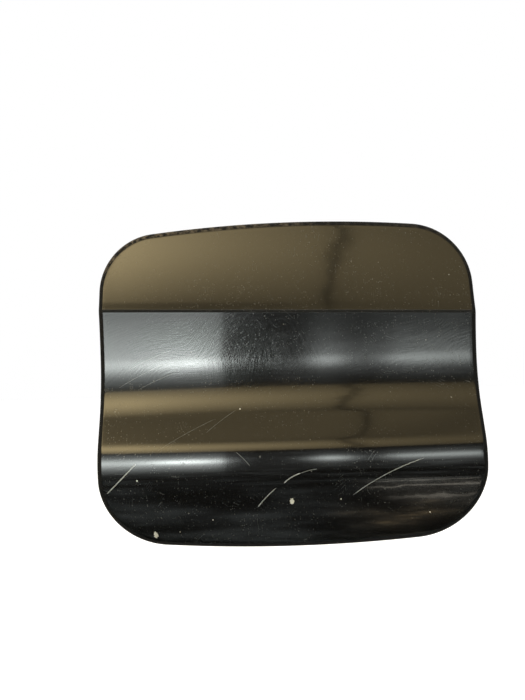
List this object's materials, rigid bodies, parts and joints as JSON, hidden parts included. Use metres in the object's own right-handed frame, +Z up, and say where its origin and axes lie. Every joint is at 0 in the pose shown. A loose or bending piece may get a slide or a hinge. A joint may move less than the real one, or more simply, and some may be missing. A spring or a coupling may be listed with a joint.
{
  "type": "fuel filler flap",
  "caption": "Contoured gloss black car fuel filler flap with rounded corners, on a ribbed carrier and a sprung side hinge that swings it open.",
  "frame": {"origin": "middle of the two bracket bolt holes, on the bracket's back face", "axes": "+X along the flap's width to its hinge side, +Y into the car through the bolts, +Z up along the hinge axis"},
  "size_m": [0.1655, 0.053, 0.1428],
  "materials": {
    "panel_paint": "gloss black paint over moulded plastic, polished and scratched",
    "carrier_plastic": "grained black moulding",
    "arm_plastic": "glass-filled black moulding",
    "bracket_steel": "zinc plated sheet",
    "pin_steel": "drawn bright",
    "bush_plastic": "natural moulding",
    "spring_steel": "oil tempered wire",
    "striker_steel": "zinc plated sheet",
    "screw_steel": "zinc plated",
    "stop_rubber": "moulded rubber"
  },
  "bodies": {
    "bracket": {"hinge_bracket": "bracket_steel", "hinge_pin": "pin_steel", "pin_clip": "spring_steel", "return_spring": "spring_steel"},
    "flap": {"outer_panel": "panel_paint", "inner_carrier": "carrier_plastic", "hinge_arm": "arm_plastic", "hinge_bush_upper": "bush_plastic", "hinge_bush_lower": "bush_plastic", "latch_striker": "striker_steel", "arm_screw_1": "screw_steel", "arm_screw_2": "screw_steel", "arm_screw_3": "screw_steel", "arm_screw_4": "screw_steel", "striker_screw_1": "screw_steel", "striker_screw_2": "screw_steel", "bump_stop_upper_left": "stop_rubber", "bump_stop_lower_left": "stop_rubber", "bump_stop_upper_right": "stop_rubber", "bump_stop_lower_right": "stop_rubber"}
  },
  "joints": [
    {"name": "flap_hinge", "type": "hinge", "parent": "bracket", "child": "flap", "pos_m": [0.029, -0.015, 0], "axis": [0, 0, 1], "range_deg": [0, 85], "stiffness_Nm_per_rad": 0.05, "springref_deg": -20.05, "deforming": ["return_spring"]}
  ]
}
